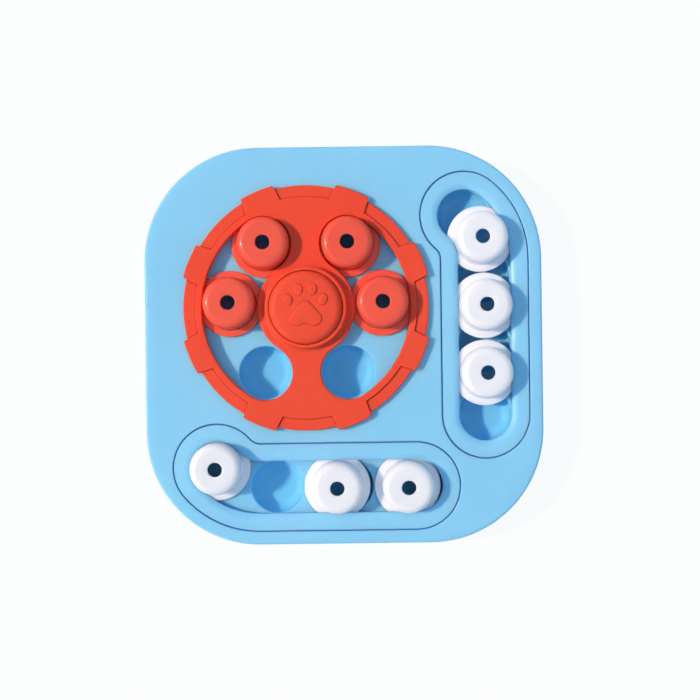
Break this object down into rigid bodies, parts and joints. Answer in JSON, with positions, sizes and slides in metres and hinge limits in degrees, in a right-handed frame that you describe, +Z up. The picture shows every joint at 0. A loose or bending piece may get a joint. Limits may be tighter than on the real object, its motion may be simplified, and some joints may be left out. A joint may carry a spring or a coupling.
{
  "type": "dog puzzle feeder",
  "caption": "Square treat tray with a turning slotted wheel and two bent tracks, whose flanged knobs slide over treat bowls to cover and uncover them.",
  "frame": {"origin": "middle of the tray's footprint, on the plane under the rubber feet", "axes": "+Z up out of the bowls, +Y towards the edge behind the wheel, +X towards the track that runs front to back"},
  "size_m": [0.28, 0.28, 0.0458],
  "materials": {
    "tray_blue": "satin gloss moulded plastic",
    "cover_blue": "satin gloss moulded plastic",
    "wheel_red": "satin moulded plastic",
    "knob_red": "satin moulded plastic",
    "knob_white": "satin gloss moulded plastic",
    "screw_steel": "zinc plated",
    "foot_rubber": "matte rubber"
  },
  "bodies": {
    "tray": {"base_tray": "tray_blue", "track_cover_right": "cover_blue", "track_cover_front": "cover_blue", "axle_washer": "screw_steel", "axle_screw": "screw_steel", "cover_screws_right": "screw_steel", "cover_screws_front": "screw_steel", "foot_front_left": "foot_rubber", "foot_front_right": "foot_rubber", "foot_back_left": "foot_rubber", "foot_back_right": "foot_rubber"},
    "wheel": {"wheel": "wheel_red", "hub_cap": "wheel_red"},
    "red_knob_upper_right": {"red_knob_upper_right": "knob_red"},
    "red_knob_right": {"red_knob_right": "knob_red"},
    "red_knob_upper_left": {"red_knob_upper_left": "knob_red"},
    "red_knob_left": {"red_knob_left": "knob_red"},
    "white_knob_right_1": {"white_knob_right_1": "knob_white"},
    "white_knob_right_2": {"white_knob_right_2": "knob_white"},
    "white_knob_right_3": {"white_knob_right_3": "knob_white"},
    "white_knob_front_1": {"white_knob_front_1": "knob_white"},
    "white_knob_front_2": {"white_knob_front_2": "knob_white"},
    "white_knob_front_3": {"white_knob_front_3": "knob_white"}
  },
  "joints": [
    {"name": "wheel_turn", "type": "hinge", "parent": "tray", "child": "wheel", "pos_m": [-0.0262, 0.0262, 0.032], "axis": [0, 0, 1], "continuous": true},
    {"name": "red_right_slide", "type": "hinge", "parent": "wheel", "child": "red_knob_right", "pos_m": [-0.0262, 0.0262, 0.032], "axis": [0, 0, 1], "range_deg": [-60.5, 0]},
    {"name": "red_upper_right_slide", "type": "hinge", "parent": "wheel", "child": "red_knob_upper_right", "pos_m": [-0.0262, 0.0262, 0.032], "axis": [0, 0, 1], "range_deg": [-60.5, 0]},
    {"name": "red_left_slide", "type": "hinge", "parent": "wheel", "child": "red_knob_left", "pos_m": [-0.0262, 0.0262, 0.032], "axis": [0, 0, 1], "range_deg": [0, 61]},
    {"name": "red_upper_left_slide", "type": "hinge", "parent": "wheel", "child": "red_knob_upper_left", "pos_m": [-0.0262, 0.0262, 0.032], "axis": [0, 0, 1], "range_deg": [0, 61]},
    {"name": "white_right_1_bend", "type": "hinge", "parent": "tray", "child": "white_knob_right_1", "pos_m": [0.06, 0.06, 0.026], "axis": [0, 0, 1], "range_deg": [0, 29.6]},
    {"name": "white_right_3_slide", "type": "slide", "parent": "tray", "child": "white_knob_right_3", "axis": [0, -1, 0], "range_m": [0, 0.0294]},
    {"name": "white_right_2_slide", "type": "slide", "parent": "tray", "child": "white_knob_right_2", "axis": [0, -1, 0], "range_m": [0, 0.0294]},
    {"name": "white_front_1_bend", "type": "hinge", "parent": "tray", "child": "white_knob_front_1", "pos_m": [-0.06, -0.06, 0.026], "axis": [0, 0, 1], "range_deg": [0, 50]},
    {"name": "white_front_3_slide", "type": "slide", "parent": "tray", "child": "white_knob_front_3", "axis": [1, 0, 0], "range_m": [-0.0072, 0.0062]},
    {"name": "white_front_2_slide", "type": "slide", "parent": "tray", "child": "white_knob_front_2", "axis": [1, 0, 0], "range_m": [-0.0072, 0.0062]}
  ],
  "couplings": [
    {"joint": "red_upper_right_slide", "follows": "red_right_slide", "ratio": 1},
    {"joint": "red_upper_left_slide", "follows": "red_left_slide", "ratio": 1},
    {"joint": "white_right_2_slide", "follows": "white_right_3_slide", "ratio": 1},
    {"joint": "white_front_2_slide", "follows": "white_front_3_slide", "ratio": 1}
  ]
}
